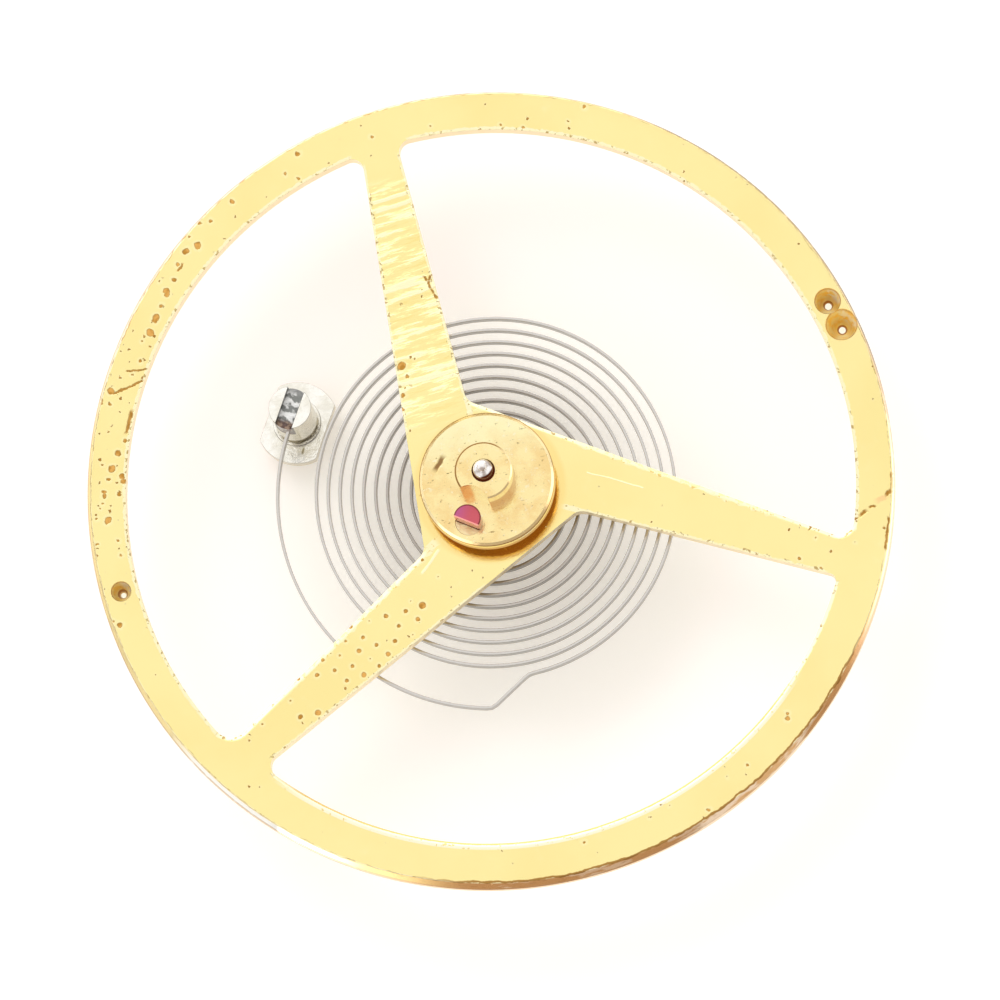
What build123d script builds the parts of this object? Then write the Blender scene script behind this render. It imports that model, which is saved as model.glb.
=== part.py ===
from build123d import *
import math
import os

# Balance of a mechanical watch: wheel, staff, double roller, impulse jewel, collet, hairspring and stud.
# Millimetres. The origin is the tip of the cock-side pivot. +Z runs along the staff to the dial side,
# where the roller sits. Angles are in degrees, counter-clockwise seen from +Z.

# Balance staff, stage by stage from the cock-side tip
cock_pivot_radius = 0.05
cock_pivot_length = 0.20
cock_trumpet_length = 0.25
cock_arbor_radius = 0.21
cock_arbor_length = 0.35
collet_seat_radius = 0.25
collet_seat_length = 0.69
wheel_seat_radius = 0.40
rivet_lip = 0.08
rivet_height = 0.06
hub_lip = 0.15
hub_height = 0.30
roller_seat_radius = 0.15
roller_seat_length = 0.75
roller_seat_taper = 0.005
dial_neck_radius = 0.122
dial_neck_length = 0.20
dial_neck_taper = 0.005
dial_shoulder_height = 0.05
dial_pivot_radius = 0.055
dial_pivot_length = 0.15
pivot_rounding = 0.02

# Balance wheel: a rim on three arms, each with one radial edge and one slanting edge. The rim is set back under
# a lip as thick as the arms, and reaches further in at one of the three windows.
wheel_radius = 5.0
rim_width = 0.48
rim_height = 0.50
rim_relief = 0.08
rim_chamfer = 0.07
rim_ledge = 0.085
ledge_window = 1
arm_count = 3
arm_thickness = 0.20
arm_edge_angle = 105.3
arm_width_at_axis = 0.926
arm_width_at_rim = 0.456
hub_corner_radius = 0.20
rim_corner_radius = 0.15

# Poise drillings in the rim: place round the rim, place across its width, radius and depth of each cone
poise_angles = (29.0, 24.9, 195.7)
poise_width_shares = (0.52, 0.56, 0.45)
poise_radii = (0.165, 0.20, 0.127)
poise_depths = (0.35, 0.38, 0.30)
poise_tip_share = 0.25

# Double roller: the table that carries the jewel, and the safety roller above it
roller_table_height = 0.27
safety_roller_wall = 0.203
safety_roller_height = 0.60
crescent_radius = 0.24
crescent_depth = 0.14
roller_angle = 248.0

# Impulse jewel, a D-shaped pin between the safety roller and the table's edge, and its shellac
jewel_radius = 0.168
jewel_flat_distance = 0.044
jewel_gap_to_safety_roller = 0.054
jewel_wall = 0.092
jewel_standout = 0.30
jewel_recess = 0.03
shellac_recess = 0.01

# Collet and the pin that wedges the spring in it
collet_wall = 0.27
collet_height = 0.50
collet_gap_to_rivet = 0.04
collet_chamfer = 0.04
collet_slit = 0.08
spring_hole_radius = 0.09
pin_clearance = 0.002
pin_taper = 0.01
pin_overhang = 0.03

# Hairspring: a flat spiral in the collet, stepped out to a concentric arc that ends in the stud
spring_thickness = 0.035
spring_height = 0.15
coil_outer_radius = 2.30
coil_start_angle = -77.0
coil_turns = 11
coil_gap_to_collet = 0.152
collet_bend_radius = 0.15
collet_end_clearance = 0.05
arc_step = 0.38
step_inner_bend_radius = 0.20
step_outer_bend_radius = 0.15
step_slant = 0.35
gap_sample_spacing = 0.04

# Hairspring stud: a slotted post on a groove and a head with two flats
stud_angle = 156.9
stud_turn = 4.4
stud_clearance_to_arms = 0.10
stud_post_radius = 0.264
stud_post_length = 0.85
stud_groove_radius = 0.21
stud_groove_width = 0.18
stud_head_radius = 0.52
stud_head_height = 0.18
stud_head_flats = 0.75
stud_slot_width = 0.21
slot_gap_beside_spring = 0.0275
slot_gap_under_spring = 0.075
spring_past_stud_centre = 0.05
cement_cover = 0.075

cut_overrun = 0.5

# Heights along the staff
cock_trumpet_foot = cock_pivot_length
cock_arbor_foot = cock_trumpet_foot + cock_trumpet_length
collet_seat_foot = cock_arbor_foot + cock_arbor_length
rivet_foot = collet_seat_foot + collet_seat_length
arm_underside = rivet_foot + rivet_height
wheel_top = arm_underside + arm_thickness
hub_top = wheel_top + hub_height
dial_neck_foot = hub_top + roller_seat_length
dial_shoulder_foot = dial_neck_foot + dial_neck_length
dial_pivot_foot = dial_shoulder_foot + dial_shoulder_height
staff_top = dial_pivot_foot + dial_pivot_length
collet_foot = rivet_foot - collet_gap_to_rivet - collet_height
spring_middle = collet_foot + collet_height / 2
stud_top = arm_underside - stud_clearance_to_arms
stud_slot_foot = spring_middle - spring_height / 2 - slot_gap_under_spring
stud_groove_top = stud_top - stud_post_length
stud_head_top = stud_groove_top - stud_groove_width

# Radii that follow from the pieces inside them
rim_inner_radius = wheel_radius - rim_width
safety_roller_radius = roller_seat_radius + safety_roller_wall
jewel_place_radius = safety_roller_radius + jewel_gap_to_safety_roller + jewel_radius
roller_table_radius = jewel_place_radius + jewel_radius + jewel_wall
collet_radius = collet_seat_radius + collet_wall
spring_hole_offset = collet_seat_radius + collet_wall / 2

# Route of the hairspring, worked out on circles about the axis and one slanting line
arc_radius = coil_outer_radius + arc_step
coil_inner_radius = collet_radius + coil_gap_to_collet
coil_pitch = (coil_outer_radius - coil_inner_radius) / coil_turns
step_line_distance = coil_outer_radius - step_slant
step_inner_turn = math.degrees(
    math.acos((step_line_distance + step_inner_bend_radius) / (coil_outer_radius + step_inner_bend_radius))
)
step_outer_turn = math.degrees(
    math.acos((step_line_distance - step_outer_bend_radius) / (arc_radius - step_outer_bend_radius))
)
step_angle = coil_start_angle + step_inner_turn
arc_end_angle = step_angle - step_outer_turn + 360
collet_turn = math.degrees(
    math.acos((spring_hole_offset - collet_bend_radius) / (coil_inner_radius - collet_bend_radius))
)
spring_hole_angle = coil_start_angle + collet_turn
stud_place_radius = arc_radius + stud_slot_width / 2 - spring_thickness / 2 - slot_gap_beside_spring
arc_start_angle = stud_angle - math.degrees(spring_past_stud_centre / arc_radius)


def around(radius, angle, height=0):
    """The point at a radius and an angle about the axis."""
    turn = math.radians(angle)
    return Vector(radius * math.cos(turn), radius * math.sin(turn), height)


def ring(outer_radius, inner_radius, foot, height):
    """A plain ring that stands on the height called foot."""
    outline = Circle(outer_radius) - Circle(inner_radius)
    return Pos(0, 0, foot) * extrude(outline, height)


def wheel_window(turn, rim_edge):
    """The opening from one arm's slanting edge to the next arm's radial edge, out to the rim's edge there."""
    slope = (arm_width_at_axis - arm_width_at_rim) / rim_inner_radius
    far_along = (slope * arm_width_at_axis + math.sqrt(
        (1 + slope**2) * rim_edge**2 - arm_width_at_axis**2
    )) / (1 + slope**2)
    slant_end_angle = math.degrees(math.acos(far_along / rim_edge))
    arm_step = 360 / arm_count
    step_turn = math.radians(arm_step)
    corner_radius = arm_width_at_axis / (math.sin(step_turn) + slope * math.cos(step_turn))
    corner = around(corner_radius, arm_step)
    outline = [
        Line(around(rim_edge, slant_end_angle), corner),
        Line(corner, around(rim_edge, arm_step)),
        CenterArc((0, 0), rim_edge, slant_end_angle, arm_step - slant_end_angle),
    ]
    window = make_face(outline)
    from_axis = window.vertices().sort_by(lambda vertex: vertex.center().length)
    window = fillet(from_axis[:1], hub_corner_radius)
    from_axis = window.vertices().sort_by(lambda vertex: vertex.center().length)
    window = fillet(from_axis[-2:], rim_corner_radius)
    return Rot(0, 0, turn) * window


def balance_wheel():
    """Rim, arms and hub web in one piece, with its centre hole and its three poise drillings."""
    lip = ring(wheel_radius, rim_inner_radius, arm_underside, arm_thickness)
    under_lip = rim_height - arm_thickness
    rim = lip + ring(wheel_radius - rim_relief, rim_inner_radius + rim_relief, arm_underside - under_lip, under_lip)
    web = ring(rim_inner_radius + rim_width / 2, wheel_seat_radius, arm_underside, arm_thickness)
    for i in range(arm_count):
        rim_edge = rim_inner_radius - (rim_ledge if i == ledge_window else 0)
        window = wheel_window(arm_edge_angle + i * 360 / arm_count, rim_edge)
        web -= Pos(0, 0, arm_underside - cut_overrun) * extrude(window, arm_thickness + 2 * cut_overrun)
    wheel = rim + web
    outer_edges = wheel.edges().filter_by(GeomType.CIRCLE).filter_by(
        lambda edge: abs(edge.radius - wheel_radius) < rim_chamfer / 2
    )
    wheel = chamfer(outer_edges, rim_chamfer)
    for angle, share, radius, depth in zip(poise_angles, poise_width_shares, poise_radii, poise_depths):
        place = around(rim_inner_radius + share * rim_width, angle, wheel_top)
        cone = Cone(radius * poise_tip_share, radius, depth, align=(Align.CENTER, Align.CENTER, Align.MAX))
        wheel -= Pos(place) * cone
    return wheel


def balance_staff():
    """The turned arbor: two pivots, the collet seat, the rivet, the wheel seat, the hub and the roller."""
    cock_wall = (cock_pivot_radius, pivot_rounding)
    cock_foot = (cock_pivot_radius, cock_trumpet_foot)
    cock_side = [
        Line((0, 0), (cock_pivot_radius - pivot_rounding, 0)),
        RadiusArc((cock_pivot_radius - pivot_rounding, 0), cock_wall, -pivot_rounding),
        Line(cock_wall, cock_foot),
        TangentArc(cock_foot, (cock_arbor_radius, cock_arbor_foot), tangent=(0, 1)),
    ]
    seat_end_radius = roller_seat_radius - roller_seat_taper
    neck_foot_radius = dial_neck_radius + dial_neck_taper
    stages = Polyline(
        (cock_arbor_radius, cock_arbor_foot),
        (cock_arbor_radius, collet_seat_foot),
        (collet_seat_radius, collet_seat_foot),
        (collet_seat_radius, rivet_foot),
        (wheel_seat_radius + rivet_lip, rivet_foot),
        (wheel_seat_radius + rivet_lip, arm_underside),
        (wheel_seat_radius, arm_underside),
        (wheel_seat_radius, wheel_top),
        (wheel_seat_radius + hub_lip, wheel_top),
        (wheel_seat_radius + hub_lip, hub_top),
        (roller_seat_radius, hub_top),
        (seat_end_radius, dial_neck_foot),
        (neck_foot_radius, dial_neck_foot + seat_end_radius - neck_foot_radius),
        (dial_neck_radius, dial_shoulder_foot),
    )
    dial_foot = (dial_pivot_radius, dial_pivot_foot)
    dial_wall = (dial_pivot_radius, staff_top - pivot_rounding)
    dial_side = [
        TangentArc((dial_neck_radius, dial_shoulder_foot), dial_foot, tangent=(0, 1)),
        Line(dial_foot, dial_wall),
        RadiusArc(dial_wall, (dial_pivot_radius - pivot_rounding, staff_top), -pivot_rounding),
        Line((dial_pivot_radius - pivot_rounding, staff_top), (0, staff_top)),
        Line((0, staff_top), (0, 0)),
    ]
    profile = make_face([*cock_side, *stages.edges(), *dial_side])
    return revolve(Plane.XZ * profile, Axis.Z)


def double_roller():
    """The roller table and the safety roller in one piece, with a bore that follows the seat's taper."""
    height = roller_table_height + safety_roller_height
    table_top = hub_top + roller_table_height
    table = Pos(0, 0, hub_top) * extrude(Circle(roller_table_radius), roller_table_height)
    safety_roller = Pos(0, 0, hub_top) * extrude(Circle(safety_roller_radius), height)
    bore_top_radius = roller_seat_radius - roller_seat_taper * height / roller_seat_length
    from_foot = (Align.CENTER, Align.CENTER, Align.MIN)
    bore = Pos(0, 0, hub_top) * Cone(roller_seat_radius, bore_top_radius, height, align=from_foot)
    roller = table + safety_roller - bore
    jewel_hole = Circle(jewel_radius)
    jewel_place = around(jewel_place_radius, roller_angle, hub_top - cut_overrun)
    roller -= Pos(jewel_place) * extrude(jewel_hole, roller_table_height + 2 * cut_overrun)
    crescent_place = safety_roller_radius + crescent_radius - crescent_depth
    crescent = extrude(Circle(crescent_radius), safety_roller_height + cut_overrun)
    return roller - Pos(around(crescent_place, roller_angle, table_top)) * crescent


def jewel_outline(inside_flat):
    """The jewel's D, on the side of its flat towards the axis, or the sliver of its hole outside the flat."""
    half = Pos(jewel_flat_distance, 0) * Rectangle(
        2 * jewel_radius, 2 * jewel_radius, align=(Align.MAX if inside_flat else Align.MIN, Align.CENTER)
    )
    outline = Rot(0, 0, roller_angle) * (Circle(jewel_radius) & half)
    return Pos(around(jewel_place_radius, roller_angle)) * outline


def impulse_jewel():
    """The ruby pin, seated in the roller table and standing out of it on the dial side."""
    length = roller_table_height - jewel_recess + jewel_standout
    return Pos(0, 0, hub_top + jewel_recess) * extrude(jewel_outline(True), length)


def jewel_shellac():
    """The shellac between the jewel's flat and the round wall of its hole."""
    length = roller_table_height - jewel_recess - shellac_recess
    return Pos(0, 0, hub_top + jewel_recess) * extrude(jewel_outline(False), length)


def spring_hole_plane():
    """At the middle of the spring's hole: X points outward and Z the way that the spring winds inward."""
    middle = around(spring_hole_offset, spring_hole_angle, spring_middle)
    return Plane(middle, x_dir=around(1, spring_hole_angle), z_dir=around(1, spring_hole_angle + 90))


def collet():
    """The split ring on the staff, with the cross hole that takes the inner end of the spring."""
    body = ring(collet_radius, collet_seat_radius, collet_foot, collet_height)
    rims = body.edges().filter_by(GeomType.CIRCLE).filter_by(
        lambda edge: abs(edge.radius - collet_radius) < collet_chamfer / 2
    )
    body = chamfer(rims, collet_chamfer)
    hole = spring_hole_plane() * Cylinder(spring_hole_radius, 2 * (collet_radius + cut_overrun))
    slit_box = Box(
        collet_radius + cut_overrun, collet_slit, collet_height + 2 * cut_overrun,
        align=(Align.MIN, Align.CENTER, Align.MIN),
    )
    slit = Pos(0, 0, collet_foot - cut_overrun) * Rot(0, 0, spring_hole_angle + 180) * slit_box
    return body - hole - slit


def collet_pin():
    """The tapered pin that wedges the spring in the collet, flat where it bears on the spring."""
    half_chord = math.sqrt(collet_radius**2 - spring_hole_offset**2)
    length = 2 * (half_chord + pin_overhang)
    large_radius = spring_hole_radius - pin_clearance
    taper = Cone(large_radius - pin_taper, large_radius, length)
    flat = Pos(-spring_thickness / 2, 0) * Box(
        spring_hole_radius, 2 * spring_hole_radius, length, align=(Align.MAX, Align.CENTER, Align.CENTER)
    )
    return spring_hole_plane() * (taper & flat)


def spring_route():
    """The middle line of the spring, from its end in the stud to its end in the collet."""
    arc = CenterArc((0, 0), arc_radius, arc_start_angle, arc_end_angle - arc_start_angle)
    outer_centre = around(arc_radius - step_outer_bend_radius, arc_end_angle)
    outer_bend = CenterArc(outer_centre, step_outer_bend_radius, arc_end_angle, step_outer_turn)
    inner_centre = around(coil_outer_radius + step_inner_bend_radius, coil_start_angle)
    inner_bend = CenterArc(inner_centre, step_inner_bend_radius, step_angle + 180, -step_inner_turn)
    coil = []
    for half_turn in range(2 * coil_turns):
        angle = coil_start_angle + 180 * half_turn
        radius = coil_outer_radius - half_turn * coil_pitch / 2 - coil_pitch / 4
        coil.append(CenterArc(around(coil_pitch / 4, angle), radius, angle, 180))
    collet_centre = around(coil_inner_radius - collet_bend_radius, coil_start_angle)
    collet_bend = CenterArc(collet_centre, collet_bend_radius, coil_start_angle, collet_turn)
    half_chord = math.sqrt(collet_radius**2 - spring_hole_offset**2)
    tail = around(1, spring_hole_angle + 90) * (half_chord - collet_end_clearance)
    collet_end = Line(collet_bend @ 1, around(spring_hole_offset, spring_hole_angle) + tail)
    step = Line(outer_bend @ 1, inner_bend @ 0)
    route = Wire([arc, outer_bend, step, inner_bend, *coil, collet_bend, collet_end])
    return Pos(0, 0, spring_middle) * route


def least_spring_gap(route):
    """The clear distance between the spring and its next turn, measured on points of its middle line."""
    count = round(route.length / gap_sample_spacing)
    spacing = route.length / count
    places = [route.position_at(i / count) for i in range(count + 1)]
    points = [complex(place.X, place.Y) for place in places]
    apart = math.ceil(math.pi * coil_inner_radius / spacing)
    least = min(abs(points[i] - points[j]) for i in range(count + 1) for j in range(i + apart, count + 1))
    return least - spring_thickness


def hairspring(route):
    """The flat steel ribbon in one unbroken length."""
    start = Plane(route @ 0, x_dir=(0, 0, 1), z_dir=route % 0)
    return sweep(start * Rectangle(spring_height, spring_thickness), path=route)


def stud_place():
    """Where the stud stands, turned so that its slot lies along X."""
    return Pos(around(stud_place_radius, stud_angle)) * Rot(0, 0, stud_angle + 90 + stud_turn)


def stud_slot(foot, top):
    """The slot across the post between two heights, long enough to cut it or to fill it."""
    slot = Rectangle(2 * (stud_post_radius + cut_overrun), stud_slot_width)
    return Pos(0, 0, foot) * extrude(slot, top - foot)


def hairspring_stud():
    """The slotted post, the groove that the carrier clips into, and the head with two flats."""
    post = Pos(0, 0, stud_groove_top) * extrude(Circle(stud_post_radius), stud_post_length)
    groove = Pos(0, 0, stud_head_top) * extrude(Circle(stud_groove_radius), stud_groove_width)
    head_outline = Circle(stud_head_radius) & Rectangle(2 * stud_head_radius, stud_head_flats)
    head = Pos(0, 0, stud_head_top - stud_head_height) * extrude(head_outline, stud_head_height)
    slot = stud_slot(stud_slot_foot, stud_top + cut_overrun)
    return stud_place() * (post + groove + head - slot)


def stud_cement(spring):
    """The cement in the slot, set round the end of the spring."""
    fill = stud_slot(stud_slot_foot, spring_middle + spring_height / 2 + cement_cover)
    post = Pos(0, 0, stud_groove_top) * extrude(Circle(stud_post_radius), stud_post_length)
    return stud_place() * (fill & post) - spring


def main():
    route = spring_route()
    spring = hairspring(route)
    nodes = {
        "balance_wheel": balance_wheel(),
        "balance_staff": balance_staff(),
        "double_roller": double_roller(),
        "impulse_jewel": impulse_jewel(),
        "jewel_shellac": jewel_shellac(),
        "collet": collet(),
        "collet_pin": collet_pin(),
        "hairspring": spring,
        "hairspring_stud": hairspring_stud(),
        "stud_cement": stud_cement(spring),
    }
    os.makedirs("parts", exist_ok=True)
    for name, solid in nodes.items():
        export_step(solid, f"parts/{name}.step")
    print(f"hairspring: {coil_turns} turns, {route.length:.2f} mm long")
    print(f"hairspring: least gap to itself {least_spring_gap(route):.3f} mm")
    print(f"balance staff: {staff_top:.2f} mm long")


main()
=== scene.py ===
import cmath
import math

import bmesh
import bpy
from mathutils import Matrix, Vector
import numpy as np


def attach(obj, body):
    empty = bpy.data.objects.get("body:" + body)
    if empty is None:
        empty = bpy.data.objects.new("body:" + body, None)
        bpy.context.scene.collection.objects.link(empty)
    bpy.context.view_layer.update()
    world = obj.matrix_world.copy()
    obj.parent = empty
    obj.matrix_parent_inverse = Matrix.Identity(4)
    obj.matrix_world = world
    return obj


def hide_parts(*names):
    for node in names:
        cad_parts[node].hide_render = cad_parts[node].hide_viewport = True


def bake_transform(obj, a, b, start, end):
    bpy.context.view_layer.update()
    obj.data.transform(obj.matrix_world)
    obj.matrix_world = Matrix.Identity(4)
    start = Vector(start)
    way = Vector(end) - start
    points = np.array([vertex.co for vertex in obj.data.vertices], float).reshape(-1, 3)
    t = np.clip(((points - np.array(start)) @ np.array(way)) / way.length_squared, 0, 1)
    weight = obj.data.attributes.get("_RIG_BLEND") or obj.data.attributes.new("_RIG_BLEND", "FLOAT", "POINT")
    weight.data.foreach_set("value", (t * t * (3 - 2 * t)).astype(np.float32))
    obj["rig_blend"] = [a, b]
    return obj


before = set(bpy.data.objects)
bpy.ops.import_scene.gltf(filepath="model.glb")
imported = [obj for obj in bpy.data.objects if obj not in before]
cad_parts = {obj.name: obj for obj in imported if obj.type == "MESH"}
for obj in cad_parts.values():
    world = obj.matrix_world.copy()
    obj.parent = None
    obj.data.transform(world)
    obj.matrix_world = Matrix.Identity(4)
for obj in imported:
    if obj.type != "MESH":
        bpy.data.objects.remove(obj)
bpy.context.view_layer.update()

# Watch balance, drawn in millimetres from the cock-side pivot tip; finished pieces are in metres
MM = 0.001

# Balance staff: radius and height of each stage
COCK_PIVOT, COCK_ARBOR, COLLET_SEAT, RIVET = 0.05, 0.21, 0.25, 0.48
WHEEL_SEAT, HUB, ROLLER_SEAT, ROLLER_SEAT_TOP = 0.40, 0.55, 0.15, 0.145
DIAL_NECK_BELOW, DIAL_NECK, DIAL_PIVOT, PIVOT_ROUNDING = 0.127, 0.122, 0.055, 0.02
COCK_PIVOT_TOP, COCK_TRUMPET_TOP, COLLET_SEAT_FOOT, RIVET_FOOT = 0.20, 0.45, 0.80, 1.49
ARM_UNDERSIDE, WHEEL_TOP, HUB_TOP = 1.55, 1.75, 2.05
DIAL_NECK_FOOT, DIAL_SHOULDER_FOOT, DIAL_PIVOT_FOOT, STAFF_TOP = 2.80, 3.00, 3.05, 3.20

# Balance wheel
WHEEL_RADIUS, RIM_INSIDE, RIM_UNDERSIDE, RIM_RELIEF, RIM_FOOT_EDGE = 5.0, 4.52, 1.25, 0.08, 0.02
RIM_CHAMFER, CHAMFER_SHIFT, LIP_ROUNDING = 0.045, 0.027, 0.010
ARM_EDGE_ANGLE, ARM_WIDTH_AT_AXIS, ARM_WIDTH_AT_RIM = 105.3, 0.926, 0.456
HUB_CORNER, WORN_EDGE, UNDERSIDE_EDGE = 0.20, 0.03, 0.015
LEDGE_EDGE, SHINY_BEVEL, SHINY_DROP, SHINY_FROM, SHINY_TO = 4.435, 0.065, 0.03, 48, 176
RIM_CORNERS = ((0.15, 0.24), (0.15, 0.09), (0.20, 0.15))
DRILLING_SIZES = ((29.0, 0.52, 0.165, 0.35), (24.9, 0.56, 0.20, 0.38), (195.7, 0.45, 0.127, 0.30))
DRILLING_TIP_SHARE = 0.25

# Double roller and its jewel
TABLE_RADIUS, TABLE_TOP, TABLE_CHAMFER, ROLLER_EDGE = 0.835, 2.32, 0.04, 0.02
SAFETY_RADIUS, SAFETY_TOP, BORE_TOP = 0.353, 2.92, 0.1442
CRESCENT_RADIUS, CRESCENT_DEPTH, ROLLER_ANGLE = 0.24, 0.14, 248.0
JEWEL_RADIUS, JEWEL_FLAT, JEWEL_PLACE, JEWEL_FOOT, JEWEL_TOP = 0.168, 0.044, 0.575, 2.08, 2.62
SHELLAC_TOP = 2.31

# Collet and pin
COLLET_RADIUS, COLLET_FOOT, COLLET_TOP, COLLET_CHAMFER, COLLET_SLIT = 0.52, 0.95, 1.45, 0.04, 0.08
SPRING_HOLE, SPRING_HOLE_OFFSET, SPRING_MIDDLE = 0.09, 0.385, 1.20
PIN_LARGE, PIN_SMALL, PIN_OVERHANG = 0.088, 0.078, 0.03

# Hairspring
SPRING_THICKNESS, SPRING_HEIGHT, SPRING_EDGE, SPRING_LENGTHS = 0.035, 0.15, 0.006, 1600
COIL_OUTSIDE, COIL_START, COIL_TURNS, COIL_INSIDE = 2.30, -77.0, 11, 0.672
ARC_RADIUS, STEP_INNER_BEND, STEP_OUTER_BEND, STEP_LINE, COLLET_BEND = 2.68, 0.20, 0.15, 1.95, 0.15
PAST_STUD_CENTRE, COLLET_END_CLEARANCE = 0.05, 0.05

# Stud
STUD_ANGLE, STUD_PLACE, STUD_TURN = 156.9, 2.74, 4.4
POST_RADIUS, POST_TOP, GROOVE_RADIUS, GROOVE_TOP = 0.264, 1.45, 0.21, 0.60
COLLAR_RADIUS, COLLAR_TOP = 0.30, 0.475
HEAD_RADIUS, HEAD_TOP, HEAD_FOOT, HEAD_FLATS = 0.52, 0.42, 0.24, 0.75
SLOT_WIDTH, SLOT_FOOT, CEMENT_TOP, CEMENT_INSET = 0.21, 1.05, 1.35, 0.004


def around(radius, angle):
    """The point at a radius and an angle about the axis, as a complex number."""
    return cmath.rect(radius, math.radians(angle))


# Places worked out from the sizes
ARM_TAPER = (ARM_WIDTH_AT_AXIS - ARM_WIDTH_AT_RIM) / RIM_INSIDE
ARM_SLANT = ARM_WIDTH_AT_AXIS / math.hypot(1, ARM_TAPER)
DRILLINGS = [
    (around(RIM_INSIDE + share * (WHEEL_RADIUS - RIM_INSIDE), angle), radius, depth)
    for angle, share, radius, depth in DRILLING_SIZES
]
JEWEL_CENTRE = around(JEWEL_PLACE, ROLLER_ANGLE)
CRESCENT_CENTRE = around(SAFETY_RADIUS + CRESCENT_RADIUS - CRESCENT_DEPTH, ROLLER_ANGLE)
COLLET_TURN = math.degrees(math.acos((SPRING_HOLE_OFFSET - COLLET_BEND) / (COIL_INSIDE - COLLET_BEND)))
SPRING_HOLE_ANGLE = COIL_START + COLLET_TURN
HALF_CHORD = math.sqrt(COLLET_RADIUS**2 - SPRING_HOLE_OFFSET**2)
STUD_CENTRE, SLOT_ANGLE = around(STUD_PLACE, STUD_ANGLE), STUD_ANGLE + 90 + STUD_TURN


# Modelling by hand

def deselect():
    """Leaves nothing selected, in object mode."""
    if bpy.context.object and bpy.context.object.mode != "OBJECT":
        bpy.ops.object.mode_set(mode="OBJECT")
    bpy.ops.object.select_all(action="DESELECT")


def only(piece):
    """Selects one piece and no other."""
    deselect()
    bpy.context.view_layer.objects.active = piece
    piece.select_set(True)


def open_piece(piece):
    """Opens a piece for editing, with all of it selected."""
    only(piece)
    bpy.ops.object.mode_set(mode="EDIT")
    bpy.ops.mesh.select_mode(type="VERT")
    bpy.ops.mesh.select_all(action="SELECT")


def pick(piece, kind, test):
    """Selects the faces or edges of an opened piece that pass a test."""
    bpy.ops.mesh.select_mode(type=kind)
    bpy.ops.mesh.select_all(action="DESELECT")
    mesh = bmesh.from_edit_mesh(piece.data)
    mesh.normal_update()
    for item in mesh.faces if kind == "FACE" else mesh.edges:
        if test(item):
            item.select_set(True)
    bmesh.update_edit_mesh(piece.data)


def lies_at(edge, axis, value, near=0.002):
    """Whether both ends of an edge lie at a value on an axis."""
    return all(abs(vertex.co[axis] - value) < near for vertex in edge.verts)


def bevel(piece, test, width, segments, clamp=False):
    """Bevels the edges of an opened piece that pass a test."""
    pick(piece, "EDGE", test)
    bpy.ops.mesh.bevel(offset=width, segments=segments, affect="EDGES", clamp_overlap=clamp)


def tidy(piece):
    """Joins points that lie on each other and turns every face outwards."""
    open_piece(piece)
    bpy.ops.mesh.remove_doubles(threshold=0.00005)
    bpy.ops.mesh.normals_make_consistent(inside=False)
    deselect()
    return piece


def draw(name, start, runs, upright=False, height=0.0, step=5.0):
    """Draws a line through runs of (end, centre): straight where there is no centre, and an arc round one."""
    def place(point):
        return Vector((point.real, 0, point.imag)) if upright else Vector((point.real, point.imag, height))
    deselect()
    bpy.ops.mesh.primitive_plane_add(size=1)
    piece = bpy.context.object
    piece.name = name
    open_piece(piece)
    bpy.ops.mesh.merge(type="CENTER")
    bpy.ops.transform.translate(value=place(start))
    here = start
    for end, centre in runs:
        if centre is None:
            bpy.ops.mesh.extrude_vertices_move(TRANSFORM_OT_translate={"value": place(end) - place(here)})
        else:
            turn = cmath.phase((end - centre) / (here - centre))
            steps = max(2, math.ceil(abs(math.degrees(turn)) / step))
            axis = (0, -1, 0) if upright else (0, 0, 1)
            bpy.ops.mesh.spin(steps=steps, angle=-turn, center=place(centre), axis=axis)
        here = end
    open_piece(piece)
    bpy.ops.mesh.remove_doubles(threshold=0.0001)
    return piece


def slab(name, start, runs, foot, top, step=5.0):
    """A flat outline filled and raised from its foot to its top."""
    piece = draw(name, start, runs, height=foot, step=step)
    bpy.ops.mesh.edge_face_add()
    bpy.ops.mesh.extrude_region_move(TRANSFORM_OT_translate={"value": (0, 0, top - foot)})
    return tidy(piece)


def turned(name, start, runs, steps=144):
    """A piece turned on the lathe from its half section: radius across, height up."""
    piece = draw(name, start, runs, upright=True, step=10.0)
    bpy.ops.mesh.spin(steps=steps, angle=math.tau, center=(0, 0, 0), axis=(0, 0, 1))
    return tidy(piece)


def straight(*points):
    """Straight runs through points."""
    return [(complex(*point), None) for point in points]


def change(piece, kind, **settings):
    """Gives a piece a modifier and applies it."""
    modifier = piece.modifiers.new(kind.lower(), kind)
    for name, value in settings.items():
        setattr(modifier, name, value)
    only(piece)
    bpy.ops.object.modifier_apply(modifier=modifier.name)


def cut(piece, tool):
    """Cuts the tool's shape out of the piece and throws the tool away."""
    change(piece, "BOOLEAN", operation="DIFFERENCE", solver="EXACT", object=tool)
    bpy.data.objects.remove(tool)


def drill(piece, centre, radius, foot, top, sides=96):
    """Cuts an upright round hole."""
    deselect()
    bpy.ops.mesh.primitive_cylinder_add(
        vertices=sides, radius=radius, depth=top - foot,
        location=(centre.real, centre.imag, (foot + top) / 2))
    cut(piece, bpy.context.object)


def soften(piece, width, segments=2, angle=35.0):
    """Rounds every edge that is sharper than an angle."""
    limit = math.radians(angle)
    change(piece, "BEVEL", limit_method="ANGLE", angle_limit=limit, width=width, segments=segments)


def settle(piece):
    """Keeps a piece's place, turn and size in its mesh."""
    only(piece)
    bpy.ops.object.transform_apply(location=True, rotation=True, scale=True)


def move(piece, turn, place=0j):
    """Turns a piece about the axis and then shifts it."""
    settle(piece)
    piece.rotation_euler.z, piece.location = math.radians(turn), (place.real, place.imag, 0)
    settle(piece)


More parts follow.
